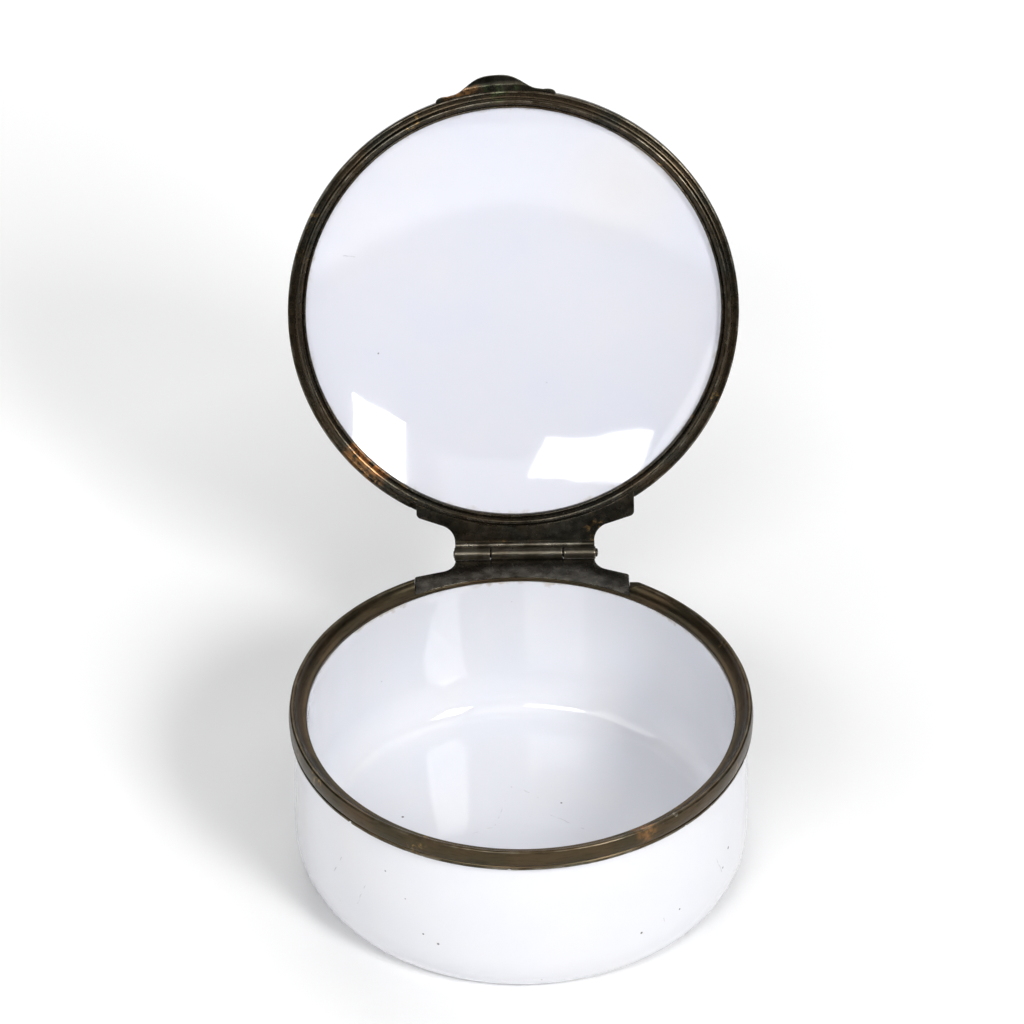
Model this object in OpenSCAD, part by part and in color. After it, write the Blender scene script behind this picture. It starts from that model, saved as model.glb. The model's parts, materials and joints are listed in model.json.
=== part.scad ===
// Round hinged trinket box of white vitreous enamel on copper, with brass mounts.
// Origin: centre of the flat underside. +Z up, the hinge is at +Y and the thumbpiece at -Y.
// The lid is drawn open, leaning back on its hinge.

/* [Bowl] */
// Height of the bezel's inner edge above the table
mouth_h = 19.3; // [15:0.1:30]
// Largest diameter of the enamelled bowl
belly_d = 49.4; // [49:0.1:49.8]
// Diameter of the bowl's wall where the bezel grips it
neck_d = 48.5; // [48.2:0.1:48.8]
// Height of the rounded corner at the foot
corner_h = 5; // [3:0.1:7]
// Width of the rounded corner at the foot
corner_w = 2.8; // [2:0.1:4]
// Thickness of each coat of enamel
enamel_t = 0.4; // [0.3:0.05:0.4]
// Thickness of the copper inside the enamel
copper_t = 0.4; // [0.3:0.05:0.4]

/* [Bezels] */
// Outer diameter of the base bezel
bezel_d = 50; // [50:0.1:52]
// Diameter of the mouth inside the base bezel
mouth_d = 46.12; // [45.5:0.02:46.12]
// Height of the base bezel's wall below the mouth
skirt_h = 1.36; // [1.2:0.02:2]
// Height of the lid bezel's wall
lid_wall_h = 1.4; // [1.4:0.1:2]
// Gap between the two bezels when the lid is shut
shut_gap = 0.07; // [0.05:0.01:0.15]

/* [Lid] */
// How far the lid is open, from shut
open_angle = 113.3; // [0:0.1:113.3]
// Rise of the lid's dome
dome_rise = 4.4; // [2:0.1:6]
// Power of the dome's curve: higher is flatter in the middle
dome_power = 2.8; // [2:0.1:3]
// Thickness of each coat of enamel on the lid
lid_enamel_t = 0.35; // [0.3:0.05:0.4]

/* [Hinge] */
// Distance from the box's centre to the hinge pin
hinge_y = 27.15; // [27.1:0.05:27.8]
// Height of the hinge pin above the mouth
hinge_rise = 0.41; // [0.38:0.01:0.45]
// Sideways shift of the hinge from the centre line, as the maker soldered it
hinge_shift = 0.95; // [0:0.05:1.2]
// Outer diameter of the knuckle tubes
tube_d = 1.46; // [1.4:0.02:1.5]
// Diameter of the hinge pin
pin_d = 0.95; // [0.8:0.05:1]
// Running clearance between the pin and the middle knuckle, on the radius
pin_clearance = 0.04; // [0.02:0.01:0.06]
// Gap between neighbouring knuckles
knuckle_gap = 0.12; // [0.08:0.01:0.2]
// Half the length of the knuckle row
row_half = 7.85; // [7:0.05:8]
// Where the left knuckle ends, from the hinge's middle
left_end = 3.87; // [3:0.01:4.5]
// Where the right knuckle starts, from the hinge's middle
right_start = 4.3; // [3.5:0.01:5]

/* [Thumbpiece] */
// Turn of the thumbpiece from the front, towards -X
thumb_turn = 4; // [0:0.5:8]
// How far the thumbpiece stands out from the lid bezel
thumb_reach = 1.52; // [1:0.02:2]
// Half the angle that the thumbpiece spans
thumb_half_angle = 15.3; // [14:0.1:18]

/* [Hidden] */
$fn = 96;

enamel_white = [0.93, 0.93, 0.96];
copper_red = [0.66, 0.38, 0.24];
old_brass = [0.32, 0.28, 0.2];
worn_brass = [0.5, 0.44, 0.3];

belly_r = belly_d / 2;
neck_r = neck_d / 2;
bezel_r = bezel_d / 2;
mouth_r = mouth_d / 2;
tube_r = tube_d / 2;
pin_r = pin_d / 2;
curve_steps = 12;

// Base bezel: a cove rises from the mouth to a rounded ridge at the rim
seat_depth = 0.4;
lip_rise = 0.1;
cove_r = 1.2;
cove_end = 15;
ridge_r = 0.28;
ridge_at = bezel_r - 0.38;
ridge_rise = 0.8;
ridge_start = 150;
ridge_steps = 8;

// Lid levels, in the shut position
lid_z = mouth_h + ridge_rise + ridge_r + shut_gap;
rim_r = neck_r + 0.03;
lid_bezel_r = bezel_r - 0.1;
collar_in_r = mouth_r - 0.14;
dome_edge_z = lid_z + 0.05;
lid_t = 2 * lid_enamel_t + copper_t;

// Hinge plates: each has a lobe at either end and narrows to a neck at the knuckles
plate_t = 0.45;
plate_back = hinge_y - tube_r - 0.03;
plate_neck = row_half - 0.1;
base_plate_z = mouth_h - 0.3;
base_plate_in_r = mouth_r + 0.15;
base_lobe_left = 12.26;
base_lobe_right = 11.45;
base_lobe_y = 23.6;
base_tip_r = 0.35;
lid_lobe_left = 12;
lid_lobe_right = 12.2;
lid_lobe_y = 23.25;
lid_tip_r = 0.6;
tongue_front = plate_back - 1;
tongue_back = hinge_y - 0.3;

// Notches in the bezels that the plates are let into, measured from the hinge's middle
base_notch_left = base_lobe_left + 0.02;
base_notch_right = base_lobe_right + 0.02;
lid_notch_left = 12.7;
lid_notch_right = lid_lobe_right + 0.1;
cut_top = 5;

// Hinge pin and the bar that bears the lid's knuckles
pin_z = mouth_h + hinge_rise;
bar_r = 0.32;
bar_y = hinge_y - 0.92;
bar_z = pin_z + 0.33;
web_back = hinge_y - 0.2;
bearer_clearance = 0.1;

// A ring or dish from its half section, turned about the box's axis
module turned(points) {
    rotate_extrude()
        polygon(points);
}

// Swings its children, drawn with the lid shut, to the open position
module opened() {
    translate([0, hinge_y, pin_z])
        rotate([-open_angle, 0, 0])
            translate([0, -hinge_y, -pin_z])
                children();
}

// A rod along X on the hinge's axis, between two distances from the hinge's middle
module pin_rod(r, x0, x1) {
    translate([hinge_shift + x0, hinge_y, pin_z])
        rotate([0, 90, 0])
            cylinder(r = r, h = x1 - x0);
}

// ---- bowl ----

// Half section of the bowl's surface: floor corner, then the swelling wall up to the neck
function bowl_curve(inset, floor_z) =
    let (wall_top = mouth_h - skirt_h, wall_foot = floor_z + corner_h)
    concat(
        [for (i = [0:curve_steps])
            let (a = 90 - 90 * i / curve_steps)
            [belly_r - inset - corner_w * (1 - cos(a)), floor_z + corner_h * (1 - sin(a))]],
        [for (i = [1:curve_steps])
            let (t = i / curve_steps)
            [neck_r - inset + (belly_r - neck_r) * cos(90 * t),
             wall_foot + (wall_top - wall_foot) * t]],
        [[neck_r - inset, mouth_h - seat_depth]]);

// One coat of the bowl's wall, between two insets and two floor levels
module bowl_coat(inset0, floor0, inset1, floor1) {
    outer = bowl_curve(inset0, floor0);
    inner = bowl_curve(inset1, floor1);
    turned(concat(
        [[0, floor0]], outer,
        [for (i = [len(inner) - 1:-1:0]) inner[i]], [[0, floor1]]));
}

module base_outer_enamel() {
    color(enamel_white)
        bowl_coat(0, 0, enamel_t, enamel_t);
}

module base_copper_bowl() {
    color(copper_red)
        bowl_coat(enamel_t, enamel_t, enamel_t + copper_t, enamel_t + copper_t);
}

module base_inner_enamel() {
    wall_t = 2 * enamel_t + copper_t;
    color(enamel_white)
        bowl_coat(enamel_t + copper_t, enamel_t + copper_t, wall_t, wall_t);
}

// ---- base bezel and its half of the hinge ----

function base_bezel_section() = concat(
    [[neck_r, -seat_depth], [mouth_r, -seat_depth], [mouth_r, 0], [mouth_r + 0.04, 0.07]],
    [for (i = [0:curve_steps])
        let (a = -90 + (90 - cove_end) * i / curve_steps)
        [mouth_r + 0.14 + cove_r * cos(a), lip_rise + cove_r * (1 + sin(a))]],
    [for (i = [0:ridge_steps])
        let (a = ridge_start * (1 - i / ridge_steps))
        [ridge_at + ridge_r * cos(a), ridge_rise + ridge_r * sin(a)]],
    [[bezel_r - 0.04, 0.5], [bezel_r, 0.1], [bezel_r, -0.4], [bezel_r - 0.04, -0.76],
     [bezel_r - 0.12, -0.84], [bezel_r - 0.06, -0.93], [bezel_r - 0.06, -skirt_h + 0.14],
     [bezel_r - 0.16, -skirt_h], [neck_r, -skirt_h]]);

// One side of a hinge plate's back edge: neck, hollow curve, lobe with a rounded tip
function ogee_side(lobe_x, lobe_y, tip_r) =
    let (hollow_r = 2, hollow_y = lobe_y + hollow_r + 0.72, lobe_in = lobe_y - 3.2)
    concat(
        [[plate_neck, plate_back]],
        [for (a = [180:11:246])
            [plate_neck + hollow_r + hollow_r * cos(a), hollow_y + hollow_r * sin(a)]],
        [for (a = [66:-22:0])
            [lobe_x - tip_r + tip_r * cos(a), lobe_y - tip_r + tip_r * sin(a)]],
        [[lobe_x, lobe_in]]);

// Outline of a hinge plate, straight along the knuckles at the back
module ogee_outline(lobe_left, lobe_right, lobe_y, tip_r) {
    right = ogee_side(lobe_right, lobe_y, tip_r);
    left = ogee_side(lobe_left, lobe_y, tip_r);
    translate([hinge_shift, 0])
        polygon(concat(right, [for (i = [len(left) - 1:-1:0]) [-left[i][0], left[i][1]]]));
}

// The ridge is cut away at the back, where the hinge plate is let in
module base_bezel() {
    color(old_brass)
        difference() {
            translate([0, 0, mouth_h])
                turned(base_bezel_section());
            difference() {
                translate([hinge_shift - base_notch_left, 0, base_plate_z])
                    cube([base_notch_left + base_notch_right, hinge_y, cut_top]);
                cylinder(r = base_plate_in_r, h = mouth_h + cut_top);
            }
        }
}

module base_hinge_plate() {
    color(old_brass)
        difference() {
            union() {
                translate([0, 0, base_plate_z])
                    linear_extrude(plate_t)
                        ogee_outline(base_lobe_left, base_lobe_right, base_lobe_y, base_tip_r);
                // Tongue that carries the middle knuckle
                translate([hinge_shift - left_end + knuckle_gap, tongue_front, base_plate_z])
                    cube([left_end + right_start - 2 * knuckle_gap, tongue_back - tongue_front,
                          plate_t]);
            }
            translate([0, 0, base_plate_z - 1])
                cylinder(r = base_plate_in_r, h = plate_t + 2);
            pin_rod(tube_r, -left_end, right_start);
        }
}

module base_knuckle() {
    color(worn_brass)
        difference() {
            pin_rod(tube_r, -left_end + knuckle_gap, right_start - knuckle_gap);
            pin_rod(pin_r + pin_clearance, -left_end - 1, right_start + 1);
        }
}

// ---- lid: domed enamel on copper ----

// Height of the dome's inner face at a distance from its middle
function dome_z(r) = dome_edge_z + dome_rise * (1 - pow(r / rim_r, dome_power));

// Half section of one coat of the dome, between two heights above its inner face
function dome_section(h0, h1) =
    let (steps = 24)
    concat(
        [for (i = [0:steps]) [rim_r * i / steps, dome_z(rim_r * i / steps) + h0]],
        [for (i = [steps:-1:0]) [rim_r * i / steps, dome_z(rim_r * i / steps) + h1]]);

module lid_inner_enamel() {
    color(enamel_white)
        opened()
            turned(dome_section(0, lid_enamel_t));
}

module lid_copper_dome() {
    color(copper_red)
        opened()
            turned(dome_section(lid_enamel_t, lid_enamel_t + copper_t));
}

module lid_outer_enamel() {
    color(enamel_white)
        opened()
            turned(dome_section(lid_enamel_t + copper_t, lid_t));
}

// ---- lid mounts ----

// Inner collar: a small lip, a groove and a round body that drops inside the base bezel
function collar_section() =
    let (groove_r = collar_in_r + 0.38, body_rise = 0.44, body_steps = 10, top_steps = 4,
         seat_gap = 0.01)
    concat(
        [[collar_in_r, dome_z(collar_in_r) - seat_gap], [collar_in_r, lid_z + 0.14],
         [collar_in_r + 0.06, lid_z], [collar_in_r + 0.2, lid_z - 0.02],
         [collar_in_r + 0.31, lid_z + 0.08]],
        [for (i = [0:body_steps])
            let (a = 180 * (1 + i / body_steps))
            [(groove_r + rim_r) / 2 + (rim_r - groove_r) / 2 * cos(a),
             lid_z + body_rise * sin(a)]],
        [for (i = [top_steps:-1:1])
            let (r = collar_in_r + (rim_r - collar_in_r) * i / top_steps)
            [r, dome_z(r) - seat_gap]]);

module lid_collar() {
    color(old_brass)
        opened()
            turned(collar_section());
}

// Outer bezel of the lid: a flat flange, a wall and a lip turned in over the enamel
function lid_bezel_section() =
    let (lip_r = rim_r - 0.32, top = lid_z + lid_wall_h)
    [[rim_r, lid_z], [lid_bezel_r - 0.2, lid_z], [lid_bezel_r - 0.06, lid_z + 0.06],
     [lid_bezel_r, lid_z + 0.2], [lid_bezel_r, top - 0.45], [lid_bezel_r - 0.12, top - 0.15],
     [lid_bezel_r - 0.35, top], [lip_r + 0.1, top + 0.1], [lip_r, dome_z(lip_r) + lid_t + 0.06],
     [lip_r, dome_z(lip_r) + lid_t], [rim_r, dome_z(rim_r) + lid_t]];

module lid_bezel() {
    color(old_brass)
        opened()
            difference() {
                turned(lid_bezel_section());
                translate([hinge_shift - lid_notch_left, 0, lid_z - 1])
                    cube([lid_notch_left + lid_notch_right, hinge_y, plate_t + 1]);
            }
}

module lid_hinge_plate() {
    color(old_brass)
        opened()
            translate([0, 0, lid_z])
                linear_extrude(plate_t)
                    difference() {
                        ogee_outline(lid_lobe_left, lid_lobe_right, lid_lobe_y, lid_tip_r);
                        circle(r = rim_r);
                        translate([-hinge_y, bar_y - bar_r])
                            square([2 * hinge_y, hinge_y]);
                    }
}

// Bar that joins the lid's plate to its two knuckles and clears the middle one
module lid_hinge_bearer() {
    front = bar_y - bar_r;
    color(worn_brass)
        opened()
            difference() {
                union() {
                    translate([hinge_shift - plate_neck, bar_y, bar_z])
                        rotate([0, 90, 0])
                            cylinder(r = bar_r, h = 2 * plate_neck);
                    translate([hinge_shift - plate_neck, front, bar_z])
                        cube([2 * plate_neck, web_back - front, lid_z + plate_t - bar_z]);
                }
                pin_rod(tube_r, -row_half, row_half);
                pin_rod(tube_r + bearer_clearance, -left_end, right_start);
            }
}

// One of the lid's knuckles, which grip the pin
module lid_knuckle(x0, x1) {
    color(worn_brass)
        opened()
            difference() {
                pin_rod(tube_r, x0, x1);
                pin_rod(pin_r, x0 - 1, x1 + 1);
            }
}

module lid_knuckle_left() {
    lid_knuckle(-row_half, -left_end);
}

module lid_knuckle_right() {
    lid_knuckle(right_start, row_half);
}

module hinge_pin() {
    proud_left = 0.12;
    proud_right = 0.3;
    color(old_brass)
        opened()
            pin_rod(pin_r, -row_half - proud_left, row_half + proud_right);
}

// ---- thumbpiece ----

// Distance of the thumbpiece's edge from the box's axis, at an angle from its middle
function thumb_edge(a) =
    let (shoulder = 0.22, crown_angle = 10.5, fullness = 1.5,
         s = min(abs(a) / crown_angle, 1))
    lid_bezel_r + shoulder + (thumb_reach - shoulder) * (1 + cos(180 * pow(s, fullness))) / 2;

// Half section of the curled flange that the thumbpiece is cut from
function thumb_section() =
    let (z0 = lid_z + 0.2, t = 0.5)
    [[lid_bezel_r, z0], [lid_bezel_r + 0.6, z0], [lid_bezel_r + 1.2, z0 + 0.25],
     [lid_bezel_r + 1.7, z0 + 0.75], [lid_bezel_r + 1.35, z0 + 0.85 + t / 2],
     [lid_bezel_r + 0.9, z0 + 0.3 + t], [lid_bezel_r + 0.5, z0 + t], [lid_bezel_r, z0 + t]];

module thumbpiece() {
    steps = 40;
    edge = [for (i = [0:steps])
        let (a = thumb_half_angle * (2 * i / steps - 1))
        thumb_edge(a) * [sin(a), -cos(a)]];
    color(old_brass)
        opened()
            rotate([0, 0, -thumb_turn])
                intersection() {
                    turned(thumb_section(), $fn = 360);
                    translate([0, 0, mouth_h])
                        linear_extrude(2 * cut_top)
                            polygon(concat([[0, 0]], edge));
                }
}

base_copper_bowl();
base_outer_enamel();
base_inner_enamel();
base_bezel();
base_hinge_plate();
base_knuckle();
hinge_pin();
lid_copper_dome();
lid_outer_enamel();
lid_inner_enamel();
lid_bezel();
lid_collar();
lid_hinge_plate();
lid_hinge_bearer();
lid_knuckle_left();
lid_knuckle_right();
thumbpiece();
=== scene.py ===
"""Round box of white enamel on copper, with old gilt-brass mounts and a hinged lid.

Shapes are drawn in millimetres. The lid's pieces are drawn with the lid shut, and each is
then swung to the open position about the hinge pin, so z is height in both halves.
"""
import json
import math

import bmesh
import bpy
from mathutils import Matrix, Vector, noise


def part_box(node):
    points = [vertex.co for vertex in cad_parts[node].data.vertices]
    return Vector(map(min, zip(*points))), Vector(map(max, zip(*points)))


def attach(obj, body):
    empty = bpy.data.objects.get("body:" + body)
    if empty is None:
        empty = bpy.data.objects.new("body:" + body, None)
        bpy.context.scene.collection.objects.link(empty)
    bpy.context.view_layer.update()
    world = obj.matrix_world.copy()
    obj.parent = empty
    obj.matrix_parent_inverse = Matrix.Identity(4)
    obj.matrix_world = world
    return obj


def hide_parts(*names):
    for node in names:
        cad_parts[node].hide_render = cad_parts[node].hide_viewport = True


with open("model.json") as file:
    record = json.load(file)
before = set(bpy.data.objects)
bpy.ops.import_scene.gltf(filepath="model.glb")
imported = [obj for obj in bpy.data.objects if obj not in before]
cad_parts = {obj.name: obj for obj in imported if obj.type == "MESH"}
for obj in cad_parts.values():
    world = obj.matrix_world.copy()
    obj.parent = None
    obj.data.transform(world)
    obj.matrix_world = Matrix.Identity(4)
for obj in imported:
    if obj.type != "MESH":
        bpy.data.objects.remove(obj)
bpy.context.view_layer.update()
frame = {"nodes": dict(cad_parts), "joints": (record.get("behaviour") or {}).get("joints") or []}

MM = 0.001
TURN = 2 * math.pi

# ---------------------------------------------------------------- sizes from the CAD frame

hinge = frame["joints"][0]
PIN = Vector(hinge["pos_m"])
PIN_X, PIN_Y, PIN_Z = (value / MM for value in PIN)
SWING = (
    Matrix.Translation(PIN)
    @ Matrix.Rotation(-math.radians(hinge["range_deg"][1]), 4, "X")
    @ Matrix.Translation(-PIN)
)


def box_mm(node, shut=False):
    """Lowest and highest corner of a CAD node in millimetres, with the lid shut if asked."""
    if not shut:
        low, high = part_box(node)
        return low / MM, high / MM
    back = SWING.inverted()
    points = [back @ vertex.co / MM for vertex in frame["nodes"][node].data.vertices]
    low = Vector(min(p[i] for p in points) for i in range(3))
    high = Vector(max(p[i] for p in points) for i in range(3))
    return low, high


bezel_low, bezel_high = box_mm("base_bezel")
lid_low, lid_high = box_mm("lid_bezel", shut=True)
dome_high = box_mm("lid_inner_enamel", shut=True)[1]
cover_high = box_mm("lid_outer_enamel", shut=True)[1]
bowl_high = box_mm("base_outer_enamel")[1]

BEZEL_R = (bezel_high.x - bezel_low.x) / 2
RIDGE_RISE = 1.08
MOUTH_Z = bezel_high.z - RIDGE_RISE
SKIRT = MOUTH_Z - bezel_low.z
MOUTH_R = BEZEL_R - 1.94
BELLY_R = bowl_high.x
NECK_R = BELLY_R - 0.45
WALL_T = 1.2

LID_Z = lid_low.z
LID_R = (lid_high.x - lid_low.x) / 2
RIM_R = dome_high.x
COLLAR_R = MOUTH_R - 0.14
DOME_EDGE_Z = LID_Z + 0.05
LID_COAT = 0.35
DOME_RISE = dome_high.z - LID_COAT - DOME_EDGE_Z
DOME_POWER = 2.8
LID_T = cover_high.z - DOME_EDGE_Z - DOME_RISE

knuckle_low, knuckle_high = box_mm("base_knuckle")
pin_low, pin_high = box_mm("hinge_pin")
TUBE_R = (knuckle_high.z - knuckle_low.z) / 2
PIN_R = (pin_high.z - pin_low.z) / 2


# ---------------------------------------------------------------- mesh helpers


def piece(name, mesh, material, body, node, sharp=40):
    """An object from a mesh in millimetres, on its body and standing for one CAD node."""
    mesh.transform(Matrix.Scale(MM, 4))
    mesh.shade_smooth()
    mesh.set_sharp_from_angle(angle=math.radians(sharp))
    mesh.materials.append(material)
    made = bpy.data.objects.new(name, mesh)
    bpy.context.scene.collection.objects.link(made)
    if body == "lid":
        made.matrix_world = SWING
    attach(made, body)
    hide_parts(node)
    return made


def mesh_from(name, points, faces):
    """A closed mesh with doubled points merged and its faces turned outwards."""
    work = bmesh.new()
    verts = [work.verts.new(p) for p in points]
    for face in faces:
        corners = [verts[i] for i in face]
        if len(set(corners)) > 2:
            work.faces.new(corners)
    bmesh.ops.remove_doubles(work, verts=work.verts, dist=1e-5)
    bmesh.ops.recalc_face_normals(work, faces=work.faces)
    mesh = bpy.data.meshes.new(name)
    work.to_mesh(mesh)
    work.free()
    return mesh


def loop_grid(rows, closed):
    """Points and faces of a tube through rows of points, each row a closed loop.

    Closed joins the last row to the first; otherwise the two ends get caps.
    """
    count = len(rows)
    width = len(rows[0])
    points = [p for row in rows for p in row]
    faces = []
    for i in range(count if closed else count - 1):
        for j in range(width):
            a = i * width + j
            b = i * width + (j + 1) % width
            c = ((i + 1) % count) * width + (j + 1) % width
            d = ((i + 1) % count) * width + j
            faces.append((a, b, c, d))
    if not closed:
        faces.append(tuple(range(width)))
        faces.append(tuple(range((count - 1) * width, count * width)))
    return points, faces


def smooth_section(points, passes=2, share=0.25):
    """Rounds the corners of a closed outline by cutting them, pass after pass."""
    for _ in range(passes):
        cut = []
        for i, a in enumerate(points):
            b = points[(i + 1) % len(points)]
            cut.append(tuple(p + (q - p) * share for p, q in zip(a, b)))
            cut.append(tuple(q + (p - q) * share for p, q in zip(a, b)))
        points = cut
    return points


def rough(point, size, depth, seed):
    """A smooth random height at a point, for features of that size."""
    return depth * noise.noise(Vector(point) / size + Vector((seed, 0, 0)))


def turned(name, section, segments, relief=None):
    """A solid turned about the box's axis from a closed half section of (r, z) points.

    Relief gives how far a point is pushed out and up, from its angle, radius and height.
    """
    rows = []
    for i in range(segments):
        a = TURN * i / segments
        row = []
        for r, z in section:
            dr, dz = relief(a, r, z) if relief else (0, 0)
            row.append(((r + dr) * math.sin(a), -(r + dr) * math.cos(a), z + dz))
        rows.append(row)
    return mesh_from(name, *loop_grid(rows, closed=True))


def slab(name, outline, z0, z1, bevel):
    """A flat plate from an (x, y) outline, with its edges worn round."""
    work = bmesh.new()
    face = work.faces.new([work.verts.new((x, y, z0)) for x, y in outline])
    raised = bmesh.ops.extrude_face_region(work, geom=[face])["geom"]
    tops = [v for v in raised if isinstance(v, bmesh.types.BMVert)]
    bmesh.ops.translate(work, verts=tops, vec=(0, 0, z1 - z0))
    bmesh.ops.recalc_face_normals(work, faces=work.faces)
    rims = [e for e in work.edges if abs(e.verts[0].co.z - e.verts[1].co.z) < 1e-6]
    bmesh.ops.bevel(work, geom=rims, offset=bevel, segments=3, profile=0.5, affect="EDGES")
    mesh = bpy.data.meshes.new(name)
    work.to_mesh(mesh)
    work.free()
    return mesh


def arc(cx, cy, r, start, end, steps):
    """Points along an arc, with angles in degrees from +X."""
    angles = [math.radians(start + (end - start) * i / steps) for i in range(steps + 1)]
    return [(cx + r * math.cos(a), cy + r * math.sin(a)) for a in angles]


# ---------------------------------------------------------------- material helpers


class Paint:
    """A node material, with short calls for the nodes that the finishes use."""

    def __init__(self, name):
        self.material = bpy.data.materials.new(name)
        self.material.use_nodes = True
        self.tree = self.material.node_tree
        self.shader = self.tree.nodes["Principled BSDF"]
        self.place = self.tree.nodes.new("ShaderNodeTexCoord").outputs["Object"]
        self.swayed = None

    def node(self, kind, inputs=None, **settings):
        made = self.tree.nodes.new(kind)
        for key, value in settings.items():
            setattr(made, key, value)
        for key, value in (inputs or {}).items():
            self.feed(value, made.inputs[key])
        return made

    def feed(self, value, socket):
        if isinstance(value, bpy.types.NodeSocket):
            self.tree.links.new(value, socket)
        else:
            socket.default_value = value

    def math(self, operation, a, b=0.0, clamp=False):
        made = self.node("ShaderNodeMath", {0: a, 1: b}, operation=operation)
        made.use_clamp = clamp
        return made.outputs[0]

    def vector(self, operation, a, b=(0, 0, 0)):
        """Vector arithmetic. B is the factor where the operation is SCALE."""
        inputs = {0: a, ("Scale" if operation == "SCALE" else 1): b}
        made = self.node("ShaderNodeVectorMath", inputs, operation=operation)
        return made.outputs[1 if operation in ("DOT_PRODUCT", "DISTANCE", "LENGTH") else 0]

    def noise(self, size_mm, detail=4.0, at=None, distortion=0.0):
        """Noise from 0 to 1 whose features are about that size."""
        inputs = {
            "Vector": at or self.place,
            "Scale": 1 / (size_mm * MM),
            "Detail": detail,
            "Distortion": distortion,
        }
        return self.node("ShaderNodeTexNoise", inputs).outputs["Fac"]

    def range(self, value, low, high, to_low=0.0, to_high=1.0):
        """Value rescaled so that low to high becomes to_low to to_high, and clipped."""
        inputs = {0: value, 1: low, 2: high, 3: to_low, 4: to_high}
        return self.node("ShaderNodeMapRange", inputs).outputs[0]

    def mix(self, share, a, b):
        inputs = {0: share, 6: a, 7: b}
        return self.node("ShaderNodeMix", inputs, data_type="RGBA").outputs[2]

    def attribute(self, name):
        return self.node("ShaderNodeAttribute", attribute_name=name).outputs["Fac"]

    def bump(self, height, depth_mm, strength=1.0, under=None):
        inputs = {"Height": height, "Distance": depth_mm * MM, "Strength": strength}
        if under:
            inputs["Normal"] = under
        return self.node("ShaderNodeBump", inputs).outputs["Normal"]

    def polar(self):
        """Angle from the front in degrees towards +X, radius and height in millimetres."""
        x, y, z = self.node("ShaderNodeSeparateXYZ", {0: self.place}).outputs
        angle = self.math("ARCTAN2", x, self.math("MULTIPLY", y, -1.0))
        flat = self.node("ShaderNodeCombineXYZ", {0: x, 1: y}).outputs[0]
        return (
            self.math("MULTIPLY", angle, 180 / math.pi),
            self.math("MULTIPLY", self.vector("LENGTH", flat), 1 / MM),
            self.math("MULTIPLY", z, 1 / MM),
        )

    def near(self, point_mm, size_mm, soft_mm):
        """1 within that size of a point, falling to 0 over the soft distance."""
        gap = self.vector("DISTANCE", self.place, tuple(value * MM for value in point_mm))
        return self.range(gap, size_mm * MM, (size_mm + soft_mm) * MM, 1.0, 0.0)

    def hairline(self, a_mm, b_mm, width_mm, wander_mm=0.5):
        """1 along a slightly wandering line between two points, and 0 beside it."""
        a = Vector(a_mm) * MM
        along = Vector(b_mm) * MM - a
        if self.swayed is None:
            sway = self.node(
                "ShaderNodeTexNoise", {"Vector": self.place, "Scale": 1 / (2.2 * MM), "Detail": 3.0}
            ).outputs["Color"]
            centred = self.vector("SUBTRACT", sway, (0.5, 0.5, 0.5))
            shift = self.vector("SCALE", centred, 2 * wander_mm * MM)
            self.swayed = self.vector("ADD", self.place, shift)
        rel = self.vector("SUBTRACT", self.swayed, tuple(a))
        reach = self.vector("DOT_PRODUCT", rel, tuple(along / along.length_squared))
        foot = self.vector("SCALE", tuple(along), self.math("ADD", reach, 0.0, clamp=True))
        return self.range(self.vector("DISTANCE", rel, foot), 0.0, width_mm * MM, 1.0, 0.0)

    def most(self, values):
        """The highest of several masks."""
        total = values[0]
        for value in values[1:]:
            total = self.math("MAXIMUM", total, value)
        return total


# ---------------------------------------------------------------- enamel

STAIN_BROWN = (0.36, 0.27, 0.15, 1)
SPECK_BLACK = (0.05, 0.045, 0.04, 1)


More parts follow.
